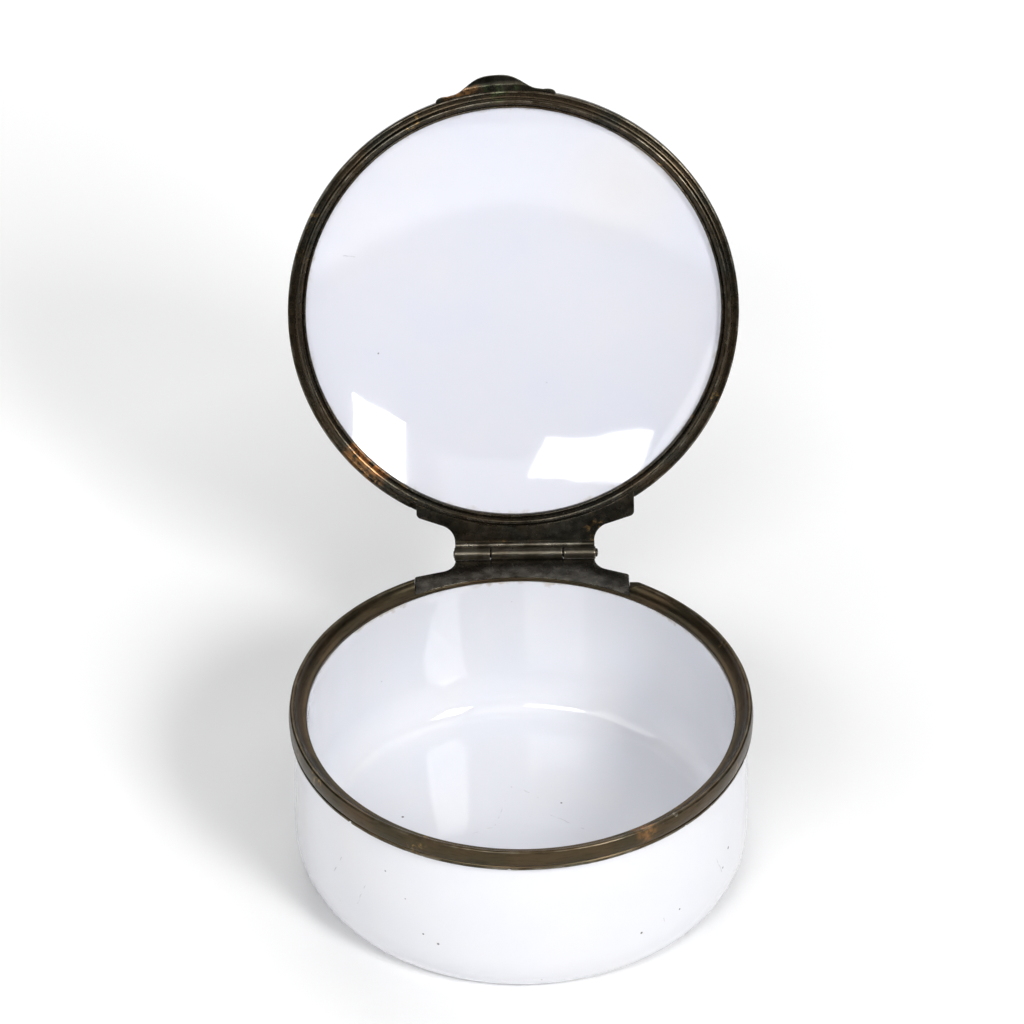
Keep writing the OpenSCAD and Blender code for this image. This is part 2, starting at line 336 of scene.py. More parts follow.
def enamel(name, tint, specks, cracks, edge_r, edge_z, stain_width, cream=()):
    """Glossy white enamel with pinholes, hairlines and a brown stain where metal grips it.

    Cream lists places and sizes of faintly yellowed patches.
    """
    p = Paint(name)
    _, radius, height = p.polar()
    cloud = p.noise(9, detail=3)
    warmer = (tint[0] * 1.03, tint[1] * 1.02, tint[2] * 0.99, 1)
    shade = p.mix(p.range(cloud, 0.35, 0.7), (*tint, 1), warmer)
    for place, size in cream:
        warmed = p.math("MULTIPLY", p.near(place, size * 0.3, size * 1.4), 0.6)
        shade = p.mix(warmed, shade, (tint[0] * 1.03, tint[1], tint[2] * 0.9, 1))
    across = p.math("ABSOLUTE", p.math("SUBTRACT", radius, edge_r))
    up = p.math("ABSOLUTE", p.math("SUBTRACT", height, edge_z))
    gap = p.math("SQRT", p.math("ADD", p.math("POWER", across, 2.0), p.math("POWER", up, 2.0)))
    ragged = p.math("ADD", gap, p.range(p.noise(1.1, detail=6), 0.3, 0.75, 0.35, -0.45))
    stain = p.range(ragged, 0.0, stain_width, 1.0, 0.0)
    patchy = p.math("MULTIPLY", stain, p.range(p.noise(3.5, detail=5), 0.42, 0.62))
    shade = p.mix(p.math("MULTIPLY", patchy, 0.5), shade, STAIN_BROWN)
    marks = []
    for place, size in specks:
        marks.append(p.near(place, size, size * 0.8))
    for a, b, width, depth in cracks:
        marks.append(p.math("MULTIPLY", p.hairline(a, b, width), depth))
    pepper = p.node(
        "ShaderNodeTexVoronoi", {"Vector": p.place, "Scale": 1 / (2.6 * MM)}, feature="F1"
    )
    dot = p.range(pepper.outputs["Distance"], 0.02, 0.035, 0.6, 0.0)
    chosen = p.range(p.noise(5, detail=1), 0.62, 0.64)
    marks.append(p.math("MULTIPLY", dot, chosen))
    dark = p.most(marks)
    colour = p.mix(p.math("MULTIPLY", dark, 0.85), shade, SPECK_BLACK)
    ripple = p.bump(p.noise(4.5, detail=2), 0.05, 0.5)
    p.feed(colour, p.shader.inputs["Base Color"])
    p.feed(p.range(p.noise(6, detail=4), 0.3, 0.8, 0.04, 0.12), p.shader.inputs["Roughness"])
    p.feed(ripple, p.shader.inputs["Normal"])
    p.shader.inputs["IOR"].default_value = 1.54
    p.shader.inputs["Coat Weight"].default_value = 0.35
    p.shader.inputs["Coat Roughness"].default_value = 0.03
    return p.material


# ---------------------------------------------------------------- old gilt brass

GILDING = (0.38, 0.23, 0.08, 1)
COPPER_TONE = (0.42, 0.2, 0.07, 1)
VERDIGRIS = (0.07, 0.11, 0.04, 1)
WORN_BRASS = (0.42, 0.385, 0.31, 1)
BRIGHT_BRASS = (0.75, 0.71, 0.6, 1)


def brass(name, olive, brown, gold=0.5, shine=0.27, copper=(), green=(), bright=()):
    """Gilt brass gone dark: olive-brown patina, flecks of gilding and wear on the crests.

    Copper, green and bright list places and sizes of patches in those tones.
    """
    p = Paint(name)
    angle, radius, height = p.polar()
    around = p.node("ShaderNodeCombineXYZ", {0: p.math("MULTIPLY", angle, 0.06), 1: radius, 2: height})
    streak = p.node(
        "ShaderNodeTexNoise", {"Vector": around.outputs[0], "Scale": 4.0, "Detail": 5.0}
    ).outputs["Fac"]
    broad = p.noise(7, detail=4, distortion=0.5)
    fine = p.noise(0.7, detail=6)
    wear = p.attribute("wear")
    colour = p.mix(p.range(broad, 0.4, 0.6), (*olive, 1), (*brown, 1))
    deep = tuple(c * 0.4 for c in olive) + (1,)
    pale = tuple(c * 1.7 for c in brown) + (1,)
    colour = p.mix(p.range(streak, 0.52, 0.72, 0.0, 0.6), colour, deep)
    colour = p.mix(p.range(fine, 0.5, 0.75, 0.0, 0.12), colour, pale)
    left = p.range(p.noise(4.5, detail=3), 0.66 - 0.12 * gold, 0.74 - 0.12 * gold)
    fleck = p.math("MULTIPLY", left, p.range(p.noise(0.45, detail=5), 0.5, 0.68))
    colour = p.mix(p.math("MULTIPLY", fleck, 0.75), colour, GILDING)
    for spots, tone in ((copper, COPPER_TONE), (green, VERDIGRIS)):
        for place, size in spots:
            patch = p.math("MULTIPLY", p.near(place, size * 0.4, size), p.range(fine, 0.38, 0.6))
            colour = p.mix(p.math("MULTIPLY", patch, 0.8), colour, tone)
    worn = p.math("MULTIPLY", wear, p.range(p.noise(1.6, detail=6), 0.4, 0.7))
    colour = p.mix(worn, colour, WORN_BRASS)
    for place, size in bright:
        patch = p.math("MULTIPLY", p.near(place, size * 0.4, size), p.range(fine, 0.42, 0.55))
        colour = p.mix(patch, colour, BRIGHT_BRASS)
    dull = p.range(fine, 0.3, 0.7, shine - 0.03, shine + 0.05)
    scratched = p.bump(streak, 0.03, 0.22)
    pitted = p.bump(fine, 0.02, 0.25, under=scratched)
    p.feed(colour, p.shader.inputs["Base Color"])
    p.feed(p.math("SUBTRACT", dull, p.math("MULTIPLY", worn, 0.1)), p.shader.inputs["Roughness"])
    p.feed(pitted, p.shader.inputs["Normal"])
    p.shader.inputs["Metallic"].default_value = 0.92
    return p.material


def bare_copper():
    """The pressed copper under the enamel, dull brown-red with drawing lines."""
    p = Paint("bare_copper")
    colour = p.mix(p.range(p.noise(3), 0.35, 0.65), (0.5, 0.2, 0.1, 1), (0.3, 0.12, 0.07, 1))
    p.feed(colour, p.shader.inputs["Base Color"])
    p.feed(p.range(p.noise(0.6), 0.3, 0.7, 0.35, 0.55), p.shader.inputs["Roughness"])
    p.feed(p.bump(p.noise(0.5), 0.05, 0.4), p.shader.inputs["Normal"])
    p.shader.inputs["Metallic"].default_value = 1.0
    return p.material


def mark_wear(obj, weight):
    """Stores how worn each vertex is, from its place in millimetres."""
    layer = obj.data.attributes.new("wear", "FLOAT", "POINT")
    for i, vertex in enumerate(obj.data.vertices):
        layer.data[i].value = weight(*(vertex.co / MM))


def on_wall(angle, height, r):
    """A point on a round wall: angle in degrees from the front towards +X."""
    a = math.radians(angle)
    return (r * math.sin(a), -r * math.cos(a), height)


# ---------------------------------------------------------------- bowl

CORNER_H = 5.0
CORNER_W = 2.8
SEAT_DEPTH = 0.4


def bowl_curve(inset, floor_z, steps=28):
    """The bowl's half section: rounded foot, swelling wall, and a narrower neck."""
    wall_top = MOUTH_Z - SKIRT
    wall_foot = floor_z + CORNER_H
    curve = []
    for i in range(steps + 1):
        a = math.radians(90 - 90 * i / steps)
        r = BELLY_R - inset - CORNER_W * (1 - math.cos(a))
        curve.append((r, floor_z + CORNER_H * (1 - math.sin(a))))
    for i in range(1, steps + 1):
        t = i / steps
        r = NECK_R - inset + (BELLY_R - NECK_R) * math.cos(math.radians(90 * t))
        curve.append((r, wall_foot + (wall_top - wall_foot) * t))
    curve.append((NECK_R - inset, MOUTH_Z - SEAT_DEPTH))
    return curve


def coat(name, outer, outer_floor, inner, inner_floor, seed):
    """One coat of enamel between two insets of the bowl's curve, fired slightly uneven."""
    def disc(edge_r, z):
        return [(edge_r * i / 24, z) for i in range(24)]

    outside = disc(bowl_curve(outer, outer_floor)[0][0], outer_floor) + bowl_curve(outer, outer_floor)
    inside = disc(bowl_curve(inner, inner_floor)[0][0], inner_floor) + bowl_curve(inner, inner_floor)

    def relief(a, r, z):
        place = (r * math.sin(a), -r * math.cos(a), z)
        swell = rough(place, 7.0, 0.05, seed)
        held = min(1, max(0, (MOUTH_Z - SKIRT - z) / 2)) * min(1, r / 3)
        return swell * held, (swell * 0.6 if abs(z - inner_floor) < 0.01 and r > 1 else 0)

    return turned(name, outside + inside[::-1], 320, relief)


BOWL_WHITE = (0.755, 0.765, 0.815)
outside_specks = [
    (on_wall(-37, 13.6, 24.6), 0.11),
    (on_wall(-31, 11.0, 24.7), 0.09),
    (on_wall(-26, 7.0, 24.7), 0.08),
    (on_wall(-22, 6.2, 24.7), 0.10),
    (on_wall(4, 2.0, 24.0), 0.10),
    (on_wall(6, 3.0, 24.3), 0.08),
    (on_wall(30, 6.0, 24.7), 0.10),
    (on_wall(42, 6.6, 24.7), 0.08),
    (on_wall(63, 9.0, 24.7), 0.12),
    (on_wall(60, 7.2, 24.7), 0.09),
]
outside_cracks = [
    (on_wall(-52, 12.0, 24.7), on_wall(-55, 9.0, 24.7), 0.08, 0.55),
    (on_wall(-43, 10.5, 24.7), on_wall(-46, 7.0, 24.7), 0.07, 0.4),
    (on_wall(-53, 5.5, 24.6), on_wall(-42, 3.2, 24.2), 0.08, 0.45),
    (on_wall(65, 13.0, 24.6), on_wall(70, 10.0, 24.7), 0.07, 0.45),
    (on_wall(57, 9.5, 24.7), on_wall(60, 6.5, 24.7), 0.08, 0.5),
    (on_wall(37, 6.6, 24.7), on_wall(37, 4.2, 24.4), 0.08, 0.6),
]
inside_specks = [
    ((-9.5, 12.5, 5.0), 0.10),
    ((-13.0, 4.0, 1.2), 0.10),
    ((4.5, 6.0, 1.2), 0.08),
    ((13.5, 15.0, 3.0), 0.10),
    ((-16.5, 15.0, 12.0), 0.08),
    ((19.5, 11.5, 17.5), 0.16),
]
inside_cracks = [
    ((-1.5, 6.5, 1.2), (-3.0, 2.0, 1.2), 0.07, 0.35),
    ((-3.0, 2.0, 1.2), (-5.5, 1.0, 1.2), 0.06, 0.3),
    ((3.0, 4.0, 1.2), (7.0, 1.5, 1.2), 0.07, 0.35),
    ((-9.0, -2.0, 1.2), (-10.0, -6.0, 1.2), 0.07, 0.45),
    ((-1.0, -5.0, 1.2), (-3.5, -9.0, 1.2), 0.08, 0.45),
    ((-1.0, 9.0, 1.2), (2.0, 7.0, 1.2), 0.08, 0.4),
]

bowl_outside = enamel(
    "bowl_outside_white", BOWL_WHITE, outside_specks, outside_cracks, NECK_R, MOUTH_Z - SKIRT, 0.5
)
bowl_inside = enamel(
    "bowl_inside_white", BOWL_WHITE, inside_specks, inside_cracks, MOUTH_R, MOUTH_Z - SEAT_DEPTH, 0.35
)
piece(
    "bowl_outside_enamel", coat("bowl_outside_enamel", 0, 0, 0.4, 0.4, 3), bowl_outside,
    "base", "base_outer_enamel",
)
piece(
    "bowl_inside_enamel", coat("bowl_inside_enamel", 0.8, 0.8, WALL_T, WALL_T, 11), bowl_inside,
    "base", "base_inner_enamel",
)
frame["nodes"]["base_copper_bowl"].data.materials.clear()
frame["nodes"]["base_copper_bowl"].data.materials.append(bare_copper())
frame["nodes"]["lid_copper_dome"].data.materials.clear()
frame["nodes"]["lid_copper_dome"].data.materials.append(bpy.data.materials["bare_copper"])

# ---------------------------------------------------------------- base bezel

# Reaches of the plate's lobes and of the ring's notch, left and right of the hinge's middle
BASE_LOBES = (12.26, 11.45)
BASE_LOBE_Y = 23.6
BASE_TIP_R = 0.35
BASE_NOTCH = (BASE_LOBES[0] + 0.02, BASE_LOBES[1] + 0.02)
FILED_Z = MOUTH_Z + 0.42
FILED_SLOPE = 0.55
PLATE_T = 0.45
PLATE_BACK = PIN_Y - TUBE_R + 0.01
PLATE_NECK = 7.75
BASE_PLATE_Z = MOUTH_Z - 0.3
PLATE_IN_R = MOUTH_R + 0.15


def base_bezel_section():
    """Half section from the mouth: cove, ridge, bulging wall, groove and lower lip."""
    cove_r = 1.2
    ridge_r = 0.28
    ridge_at = BEZEL_R - 0.38
    points = [(NECK_R, -SEAT_DEPTH), (MOUTH_R, -SEAT_DEPTH), (MOUTH_R, 0.0), (MOUTH_R + 0.04, 0.07)]
    for x, y in arc(MOUTH_R + 0.14, 0.1 + cove_r, cove_r, -90, -15, 18):
        points.append((x, y))
    points += arc(ridge_at, 0.8, ridge_r, 150, 0, 14)
    points += [
        (BEZEL_R - 0.05, 0.55), (BEZEL_R - 0.01, 0.25), (BEZEL_R, -0.1), (BEZEL_R - 0.01, -0.45),
        (BEZEL_R - 0.05, -0.7), (BEZEL_R - 0.17, -0.8), (BEZEL_R - 0.18, -0.88),
        (BEZEL_R - 0.07, -0.96), (BEZEL_R - 0.05, -1.1), (BEZEL_R - 0.08, -SKIRT + 0.08),
        (BEZEL_R - 0.2, -SKIRT), (NECK_R, -SKIRT),
    ]
    return [(r, MOUTH_Z + z) for r, z in smooth_section(points, passes=1, share=0.2)]


def notched_ring(name, section, cut, notch, steps, notch_steps, relief):
    """A turned ring whose section is cut down over a notch at the back, between two planes.

    Cut gives the section's points inside the notch. The notch reaches left and right of the
    hinge's middle, and its ends are square to X.
    """
    def station(t, points):
        row = []
        for (r, z), (full_r, _) in zip(points, section):
            left = math.asin((PIN_X - notch[0]) / full_r)
            right = math.asin((PIN_X + notch[1]) / full_r)
            a = left + (right - left) * t if t <= 1 else right + (TURN + left - right) * (t - 1)
            dr, dz = relief(a, r, z)
            row.append(((r + dr) * math.sin(a), (r + dr) * math.cos(a), z + dz))
        return row

    rows = [station(i / notch_steps, cut) for i in range(notch_steps + 1)]
    rows += [station(1 + i / steps, section) for i in range(steps + 1)]
    return mesh_from(name, *loop_grid(rows, closed=True))


def bezel_relief(a, r, z):
    """Waves and nicks of a hand-fitted ring, filed down where the notch ends on the right."""
    place = (r * math.sin(a), r * math.cos(a), z)
    wave = rough(place, 9.0, 0.05, 21) + rough(place, 1.6, 0.02, 5)
    nick = max(0.0, noise.noise(Vector(place) * 1.5 + Vector((40, 0, 0))) - 0.42)
    lip = 1.0 if z < MOUTH_Z - 1.0 and r > NECK_R + 0.3 else 0.0
    outer = min(1, max(0, (r - NECK_R + 0.6) / 0.8))
    past_notch = place[0] - PIN_X - BASE_NOTCH[1]
    filed = 0.0
    if place[1] > 0 and past_notch > -0.01:
        filed = min(0.0, FILED_Z + past_notch * FILED_SLOPE - z)
    return wave * outer - lip * nick * 0.5, lip * nick * 0.8 + filed


def base_bezel():
    section = base_bezel_section()
    cut = [(r, z) if r < PLATE_IN_R else (r, min(z, BASE_PLATE_Z)) for r, z in section]
    mesh = notched_ring("base_bezel_ring", section, cut, BASE_NOTCH, 1000, 160, bezel_relief)
    finish = brass(
        "bezel_brass_base", (0.052, 0.042, 0.024), (0.072, 0.05, 0.027), gold=0.12, shine=0.33,
        copper=[(on_wall(31, MOUTH_Z + 0.6, 24.3), 1.1)],
        bright=[(on_wall(36, MOUTH_Z + 0.7, 24.6), 0.25), (on_wall(40, MOUTH_Z + 0.9, 24.6), 0.25)],
    )
    made = piece("base_bezel_ring", mesh, finish, "base", "base_bezel", sharp=60)
    crest = MOUTH_Z + 1.0

    def weight(x, y, z):
        r = math.hypot(x, y)
        top = 0.2 * max(0, 1 - abs(z - crest) / 0.16) * (1 if r > 24.3 else 0)
        low = 0.25 if z < MOUTH_Z - 0.95 and r > BEZEL_R - 0.12 else 0
        return max(top, low)

    mark_wear(made, weight)


base_bezel()

# ---------------------------------------------------------------- hinge plates


def ogee_side(lobe_x, lobe_y, tip_r):
    """One side of a plate's back edge: neck, hollow curve, then the lobe's rounded tip."""
    hollow_r = 2.0
    points = [(PLATE_NECK, PLATE_BACK)]
    points += arc(PLATE_NECK + hollow_r, lobe_y + hollow_r + 0.72, hollow_r, 180, 246, 18)
    points += arc(lobe_x - tip_r, lobe_y - tip_r, tip_r, 66, 0, 8)
    return points


def plate_outline(lobes, lobe_y, tip_r, inner_r, tab=()):
    """A whole plate's outline: both ogee sides, any tab and the arc that meets the ring."""
    left, right = lobes
    back = [(x + PIN_X, y) for x, y in ogee_side(right, lobe_y, tip_r)[::-1]]
    back += tab
    back += [(PIN_X - x, y) for x, y in ogee_side(left, lobe_y, tip_r)]
    start = math.degrees(math.acos((PIN_X - left) / inner_r))
    end = math.degrees(math.acos((PIN_X + right) / inner_r))
    return back + arc(0, 0, inner_r, start, end, 60)


def base_plate():
    """The base's plate, with a tab under the middle knuckle and the gaps beside it."""
    past_knuckle = 0.105
    left, right = knuckle_low.x - past_knuckle, knuckle_high.x + past_knuckle
    tab_y = PIN_Y - 0.44
    tab = [(right, PLATE_BACK), (right, tab_y), (left, tab_y), (left, PLATE_BACK)]
    outline = plate_outline(BASE_LOBES, BASE_LOBE_Y, BASE_TIP_R, PLATE_IN_R, tab)
    mesh = slab("base_hinge_plate_ogee", outline, BASE_PLATE_Z, BASE_PLATE_Z + PLATE_T, 0.07)
    finish = brass("plate_brass", (0.04, 0.037, 0.03), (0.052, 0.043, 0.031), gold=0.0, shine=0.26)
    made = piece("base_hinge_plate_ogee", mesh, finish, "base", "base_hinge_plate")
    mark_wear(made, lambda x, y, z: 0.35 if math.hypot(x, y) < PLATE_IN_R + 0.12 else 0.1)


base_plate()

# ---------------------------------------------------------------- lid enamel


def dome_z(r):
    """Height of the dome's inner face."""
    return DOME_EDGE_Z + DOME_RISE * (1 - (r / RIM_R) ** DOME_POWER)


def dome_coat(name, low, high, seed):
    steps = 72
    radii = [RIM_R * i / steps for i in range(steps + 1)]
    under = [(r, dome_z(r) + low) for r in radii]
    over = [(r, dome_z(r) + high) for r in radii]

    def relief(a, r, z):
        place = (r * math.sin(a), -r * math.cos(a), 0)
        held = min(1, (RIM_R - r) / 2) * min(1, r / 3)
        face = 1 if abs(z - dome_z(r) - (low if low == 0 else high)) < 0.01 else 0
        return 0, (rough(place, 8.0, 0.035, seed) + rough(place, 3.0, 0.006, seed)) * held * face

    return turned(name, under + over[::-1], 320, relief)


# The lid's inside is the bowl's white enamel painted darker, as painted shade, and a touch bluer.
LID_SHADED_WHITE = (0.695, 0.707, 0.785)
lid_specks = [((-6.0, 0.5, 24.4), 0.10), ((-15.0, 5.0, 23.5), 0.08), ((6.5, -13.0, 23.6), 0.07)]
lid_cracks = [
    ((-22.5, -7.0, 21.8), (-13.5, -5.5, 23.6), 0.08, 0.4),
    ((11.0, 18.0, 22.0), (12.2, 20.2, 21.4), 0.09, 0.6),
    ((-4.0, -6.0, 24.3), (9.0, -1.5, 24.2), 0.05, 0.14),
    ((-12.0, -4.5, 23.8), (-3.0, -2.0, 24.5), 0.05, 0.12),
]
lid_inside = enamel(
    "lid_inside_shaded_white", LID_SHADED_WHITE, lid_specks, lid_cracks, COLLAR_R, LID_Z + 0.5, 0.4,
    cream=[((12.0, -13.0, 23.0), 5.0)],
)
lid_outside = enamel(
    "lid_outside_white", BOWL_WHITE, [((5.0, -8.0, 25.8), 0.09), ((-9.0, 3.0, 25.6), 0.08)],
    [((10.0, 12.0, 25.0), (15.0, 15.0, 24.0), 0.07, 0.35)], LID_R - 0.9, LID_Z + 1.5, 0.7,
)
piece(
    "lid_inside_enamel", dome_coat("lid_inside_enamel", 0, LID_COAT, 17), lid_inside,
    "lid", "lid_inner_enamel",
)
piece(
    "lid_outside_enamel", dome_coat("lid_outside_enamel", LID_T - LID_COAT, LID_T, 29), lid_outside,
    "lid", "lid_outer_enamel",
)

# ---------------------------------------------------------------- lid mounts

LID_LOBES = (12.0, 12.2)
LID_LOBE_Y = 23.25
LID_TIP_R = 0.6
LID_NOTCH = (12.7, LID_LOBES[1] + 0.1)
BAR_R = 0.32
BAR_Y = PIN_Y - 0.92


def collar_section():
    """Lip, groove and round body of the inner collar, a flat rim, then its seat."""
    groove_r = COLLAR_R + 0.38
    body_r = RIM_R - 0.2
    half = (body_r - groove_r) / 2
    points = [
        (COLLAR_R, dome_z(COLLAR_R) - 0.02), (COLLAR_R, LID_Z + 0.14), (COLLAR_R + 0.05, LID_Z + 0.02),
        (COLLAR_R + 0.14, LID_Z - 0.03), (COLLAR_R + 0.24, LID_Z + 0.01), (COLLAR_R + 0.31, LID_Z + 0.1),
        (groove_r - 0.01, LID_Z + 0.1),
    ]
    points += [
        (r, LID_Z + 0.44 * z / half)
        for r, z in arc(groove_r + half, 0, half, 180, 360, 16)
    ]
    points += [(body_r + 0.02, LID_Z + 0.02), (RIM_R + 0.04, LID_Z + 0.02)]
    for i in range(4, 0, -1):
        r = COLLAR_R + (RIM_R - COLLAR_R) * i / 4
        points.append((r, dome_z(r) - 0.005))
    return points


def lid_relief(a, r, z):
    place = (r * math.sin(a), r * math.cos(a), z)
    wave = rough(place, 9.0, 0.04, 61) + rough(place, 1.5, 0.015, 7)
    return wave * 0.6, wave if z < LID_Z + 0.3 else 0


def lid_bezel_section():
    """Flat flange, wall, and a lip turned in over the enamel."""
    top = lid_high.z - 0.1
    lip_r = RIM_R - 0.32
    points = [
        (RIM_R, LID_Z + 0.1), (RIM_R, LID_Z + 0.01), (RIM_R + 0.02, LID_Z - 0.01),
        (RIM_R + 0.07, LID_Z - 0.01), (RIM_R + 0.1, LID_Z + 0.04), (RIM_R + 0.14, LID_Z + 0.04),
        (RIM_R + 0.17, LID_Z), (LID_R - 0.2, LID_Z), (LID_R - 0.06, LID_Z + 0.06),
        (LID_R, LID_Z + 0.2), (LID_R, top - 0.45), (LID_R - 0.12, top - 0.15), (LID_R - 0.35, top),
        (lip_r + 0.1, top + 0.1), (lip_r, dome_z(lip_r) + LID_T + 0.06),
        (lip_r, dome_z(lip_r) + LID_T), (RIM_R, dome_z(RIM_R) + LID_T),
        (RIM_R, dome_z(RIM_R) + LID_T - 0.1),
    ]
    return smooth_section(points, passes=2, share=0.2)


def lid_mounts():
    finish = brass(
        "bezel_brass_lid", (0.032, 0.03, 0.022), (0.05, 0.036, 0.021), gold=0.35,
        copper=[(on_wall(222, LID_Z + 0.1, 23.4), 1.6), (on_wall(228, LID_Z + 0.1, 23.4), 1.4)],
        green=[(on_wall(-3, LID_Z, 24.7), 0.9)],
    )
    collar = turned("lid_collar_ring", collar_section(), 960, lid_relief)
    made = piece("lid_collar_ring", collar, finish, "lid", "lid_collar", sharp=60)

    def collar_wear(x, y, z):
        r = math.hypot(x, y)
        lip = max(0, 1 - abs(r - COLLAR_R - 0.14) / 0.1) if z < LID_Z + 0.05 else 0
        body = max(0, 1 - abs(r - COLLAR_R - 0.8) / 0.2) if z < LID_Z - 0.3 else 0
        return max(lip * 0.25, body * 0.35)

    mark_wear(made, collar_wear)
    section = lid_bezel_section()
    cut = [(r, max(z, LID_Z + PLATE_T)) for r, z in section]
    ring = notched_ring("lid_bezel_ring", section, cut, LID_NOTCH, 1000, 160, lid_relief)
    made = piece("lid_bezel_ring", ring, finish, "lid", "lid_bezel", sharp=60)

    def edge_wear(x, y, z):
        return 0.3 if math.hypot(x, y) > LID_R - 0.28 and z < LID_Z + 0.12 else 0.0

    mark_wear(made, edge_wear)
    outline = plate_outline(LID_LOBES, LID_LOBE_Y, LID_TIP_R, RIM_R - 0.1)
    outline = [(x, min(y, BAR_Y - BAR_R)) for x, y in outline]
    mesh = slab("lid_hinge_plate_ogee", outline, LID_Z, LID_Z + PLATE_T, 0.06)
    made = piece("lid_hinge_plate_ogee", mesh, finish, "lid", "lid_hinge_plate")
    mark_wear(made, lambda x, y, z: 0.1)


lid_mounts()

# ---------------------------------------------------------------- hinge

KNUCKLES = {
    "base_knuckle": ("base", "hinge_knuckle_middle", PIN_R + 0.04),
    "lid_knuckle_left": ("lid", "hinge_knuckle_left", PIN_R),
    "lid_knuckle_right": ("lid", "hinge_knuckle_right", PIN_R),
}


def along_pin(name, section, x0, segments=72):
    """A round piece on the hinge pin's line, from points of (distance past x0, radius)."""
    rows = []
    for i in range(segments):
        a = TURN * i / segments
        row = []
        for t, r in section:
            x = x0 + t
            bruise = rough((x, r * math.cos(a), r * math.sin(a)), 1.2, 0.018, 33) if r > 0.6 else 0
            row.append((x, PIN_Y + (r + bruise) * math.cos(a), PIN_Z + (r + bruise) * math.sin(a)))
        rows.append(row)
    return mesh_from(name, *loop_grid(rows, closed=True))


def tube_section(length, bore):
    soft = 0.09
    count = max(8, int(length / 0.2))
    outside = [(soft + (length - 2 * soft) * i / count, TUBE_R) for i in range(count + 1)]
    points = [(0, bore), (0, TUBE_R - soft), (soft * 0.3, TUBE_R - soft * 0.3)]
    points += outside + [(length - soft * 0.3, TUBE_R - soft * 0.3), (length, TUBE_R - soft)]
    return points + [(length, bore)]


def pin_section(length):
    cap = [(0.16 * (1 - math.sin(a)), PIN_R * math.cos(a)) for a in
           [math.radians(90 - 15 * i) for i in range(7)]]
    return cap + [(length - t, r) for t, r in cap[::-1]]


def bearer_mesh():
    """Bar and web between the lid's plate and the knuckles, hollowed to clear them."""
    bar_z = PIN_Z + 0.33
    top = LID_Z + PLATE_T
    web_back = PIN_Y - 0.2
    gap_low, gap_high = box_mm("base_knuckle")
    x_low, x_high = box_mm("lid_hinge_bearer", shut=True)

    def section(clear):
        hollow = TUBE_R + clear
        rise = math.degrees(math.acos((PIN_Y - web_back) / hollow))
        low = math.degrees(math.asin((bar_z - PIN_Z) / hollow))
        points = [(BAR_Y - BAR_R, top)]
        points += arc(BAR_Y, bar_z, BAR_R, 180, 330, 12)
        points += arc(PIN_Y, PIN_Z, hollow, 180 - low * 0.7, 180 - rise, 8)
        return points + [(web_back, top)]

    past_gap = 0.12
    hollow_from = gap_low.x - past_gap
    hollow_to = gap_high.x + past_gap
    stations = [
        (x_low.x, 0.0), (hollow_from, 0.0), (hollow_from, 0.1),
        (hollow_to, 0.1), (hollow_to, 0.0), (x_high.x, 0.0),
    ]
    rows = [[(x, y, z) for y, z in section(clear)] for x, clear in stations]
    return mesh_from("lid_hinge_bar", *loop_grid(rows, closed=False))


def tube_wear(x, y, z):
    return 0.3 if math.hypot(y - PIN_Y, z - PIN_Z) > TUBE_R - 0.04 else 0


def hinge_pieces():
    finish = brass("hinge_brass", (0.08, 0.071, 0.052), (0.09, 0.072, 0.05), gold=0.2, shine=0.32)
    # The pin is near-black: dark old metal at its end, and painted shade in the gaps between the
    # knuckles.
    dark = brass("pin_brass_dark_gap_shade", (0.02, 0.018, 0.014), (0.03, 0.024, 0.018), gold=0.0, shine=0.4)
    for node, (body, name, bore) in KNUCKLES.items():
        low, high = box_mm(node)
        mesh = along_pin(name, tube_section(high.x - low.x, bore), low.x)
        made = piece(name, mesh, finish, body, node, sharp=50)
        mark_wear(made, tube_wear)
    low, high = box_mm("hinge_pin")
    mesh = along_pin("hinge_pin_rod", pin_section(high.x - low.x), low.x)
    made = piece("hinge_pin_rod", mesh, dark, "lid", "hinge_pin", sharp=50)
    mark_wear(made, lambda x, y, z: 0.4 if abs(x - PIN_X) > 8.0 else 0.0)
    made = piece(
        "lid_hinge_bar", bearer_mesh(), finish, "lid", "lid_hinge_bearer", sharp=50
    )
    mark_wear(made, lambda x, y, z: 0.8 if z < PIN_Z + 0.2 else 0.1)


hinge_pieces()

# ---------------------------------------------------------------- thumbpiece

THUMB_TURN = 4.0
THUMB_HALF = 15.3
THUMB_REACH = 1.52


def thumb_reach(angle):
    """How far the thumbpiece stands out, at an angle from its middle in degrees."""
    shoulder = 0.22
    s = min(abs(angle) / 10.5, 1)
    ogee = shoulder + (THUMB_REACH - shoulder) * (1 + math.cos(math.pi * s**1.5)) / 2
    from_end = (THUMB_HALF - abs(angle)) / 3.2
    lobe = 0.12 * math.sin(math.pi * from_end) if 0 < from_end < 1 else 0
    corner = math.sqrt(max(0, 1 - (1 - min(1, from_end / 0.3)) ** 2))
    return 0.04 + (ogee + lobe - 0.04) * corner


